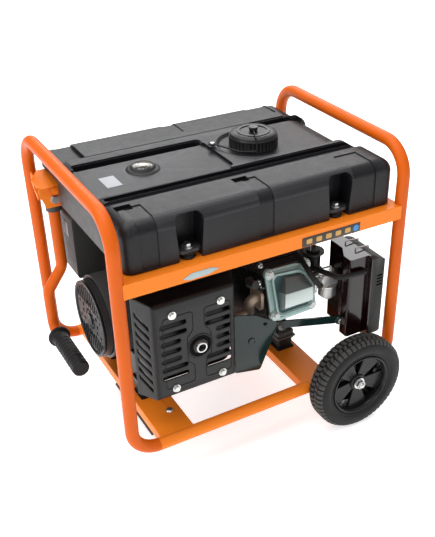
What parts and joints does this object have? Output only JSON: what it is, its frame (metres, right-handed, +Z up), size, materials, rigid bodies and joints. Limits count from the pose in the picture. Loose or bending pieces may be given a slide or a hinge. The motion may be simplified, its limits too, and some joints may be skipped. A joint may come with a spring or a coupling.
{
  "type": "portable generator",
  "caption": "Open-frame petrol generator with a black fuel tank on top, an engine and alternator on rubber mounts, two wheels and a fold-out carrying handle.",
  "frame": {"origin": "centre of the bounding box's base, on the floor under the middle of the generator", "axes": "+X along the frame from the alternator and carrying handle to the wheels and recoil starter, +Y towards the control panel side, +Z up"},
  "size_m": [0.72, 0.6414, 0.66],
  "materials": {
    "frame_paint": "satin powder coat",
    "black_paint": "satin",
    "zinc": "bright zinc plate",
    "steel": "heat tinted steel",
    "cast_alloy": "as cast",
    "carb_alloy": "fine cast",
    "tank_plastic": "fine grain",
    "black_plastic": "satin",
    "filter_plastic": "gloss",
    "gauge_plastic": "clear lens over a cream dial",
    "rubber": "matt",
    "tyre": "matt"
  },
  "bodies": {
    "frame": {"air_filter_base": "filter_plastic", "air_filter_lid": "filter_plastic", "alternator_end_cover": "cast_alloy", "alternator_housing": "black_paint", "breather_hose": "rubber", "cap_tether": "rubber", "carburettor": "carb_alloy", "control_box": "black_paint", "control_panel": "black_plastic", "crankcase": "black_paint", "cylinder": "cast_alloy", "cylinder_head": "cast_alloy", "engine_screws": "zinc", "filter_brackets": "zinc", "frame_bolts": "zinc", "front_axle": "zinc", "front_sill_tube": "frame_paint", "front_tank_rail": "frame_paint", "fuel_gauge": "gauge_plastic", "fuel_hose": "rubber", "fuel_tank": "tank_plastic", "fuel_tap": "black_plastic", "governor_pot": "black_plastic", "handle_bracket": "frame_paint", "isolation_mounts": "rubber", "left_cross_member": "frame_paint", "left_end_hoop": "frame_paint", "leg_feet": "rubber", "lower_shroud": "black_paint", "muffler": "steel", "muffler_shield": "black_paint", "rear_axle": "zinc", "rear_sill_tube": "frame_paint", "rear_tank_rail": "frame_paint", "recoil_housing": "black_paint", "right_cross_member": "frame_paint", "right_end_hoop": "frame_paint", "spark_plug": "black_plastic", "support_leg": "black_paint", "tank_bolts": "zinc", "tank_bushes": "rubber", "valve_cover": "cast_alloy"},
    "front_wheel": {"front_tyre": "tyre", "front_rim": "black_plastic"},
    "rear_wheel": {"rear_tyre": "tyre", "rear_rim": "black_plastic"},
    "handle": {"handle_tube": "frame_paint", "handle_grip": "rubber", "handle_collar": "black_plastic"},
    "cap": {"fuel_cap": "black_plastic"},
    "tap_lever": {"fuel_tap_lever": "black_plastic"},
    "choke": {"choke_lever": "black_plastic"},
    "crank": {"crankshaft": "steel", "flywheel": "cast_alloy"},
    "starter_handle": {"recoil_handle": "black_plastic"},
    "dipstick": {"oil_dipstick": "black_plastic"},
    "switch": {"engine_switch": "black_plastic"},
    "breaker": {"breaker_button": "black_plastic"},
    "lid_left": {"socket_lid_left": "black_plastic"},
    "lid_right": {"socket_lid_right": "black_plastic"}
  },
  "joints": [
    {"name": "front_wheel_spin", "type": "hinge", "parent": "frame", "child": "front_wheel", "pos_m": [0.222, -0.289, 0.1165], "axis": [0, 1, 0], "continuous": true},
    {"name": "rear_wheel_spin", "type": "hinge", "parent": "frame", "child": "rear_wheel", "pos_m": [0.222, 0.289, 0.1165], "axis": [0, 1, 0], "continuous": true},
    {"name": "handle_fold", "type": "hinge", "parent": "frame", "child": "handle", "pos_m": [-0.294, 0.17, 0.525], "axis": [0, 1, 0], "range_deg": [0, 90]},
    {"name": "cap_turn", "type": "hinge", "parent": "frame", "child": "cap", "pos_m": [0.12, 0, 0.64], "axis": [0, 0, 1], "range_deg": [0, 90]},
    {"name": "tap_turn", "type": "hinge", "parent": "frame", "child": "tap_lever", "pos_m": [0.191, -0.15, 0.496], "axis": [0, 1, 0], "range_deg": [0, 90]},
    {"name": "choke_turn", "type": "hinge", "parent": "frame", "child": "choke", "pos_m": [0.224, -0.1869, 0.3453], "axis": [0, 1, 0], "range_deg": [-35, 0]},
    {"name": "crank_spin", "type": "hinge", "parent": "frame", "child": "crank", "pos_m": [0, 0.015, 0.287], "axis": [1, 0, 0], "continuous": true},
    {"name": "starter_pull", "type": "slide", "parent": "frame", "child": "starter_handle", "axis": [0, 1, 0], "range_m": [0, 0.5]},
    {"name": "dipstick_turn", "type": "hinge", "parent": "frame", "child": "dipstick", "pos_m": [0.056, 0.11, 0.219], "axis": [0, 1, 0], "range_deg": [0, 180]},
    {"name": "switch_rock", "type": "hinge", "parent": "frame", "child": "switch", "pos_m": [0.031, 0.224, 0.369], "axis": [1, 0, 0], "range_deg": [-16, 0]},
    {"name": "breaker_press", "type": "slide", "parent": "frame", "child": "breaker", "axis": [0, -1, 0], "range_m": [0, 0.003], "stiffness_N_per_m": 400},
    {"name": "lid_left_lift", "type": "hinge", "parent": "frame", "child": "lid_left", "pos_m": [-0.174, 0.2435, 0.4302], "axis": [1, 0, 0], "range_deg": [0, 110], "stiffness_Nm_per_rad": 0.02, "springref_deg": -28.65},
    {"name": "lid_right_lift", "type": "hinge", "parent": "frame", "child": "lid_right", "pos_m": [-0.089, 0.2435, 0.4302], "axis": [1, 0, 0], "range_deg": [0, 110], "stiffness_Nm_per_rad": 0.02, "springref_deg": -28.65}
  ]
}
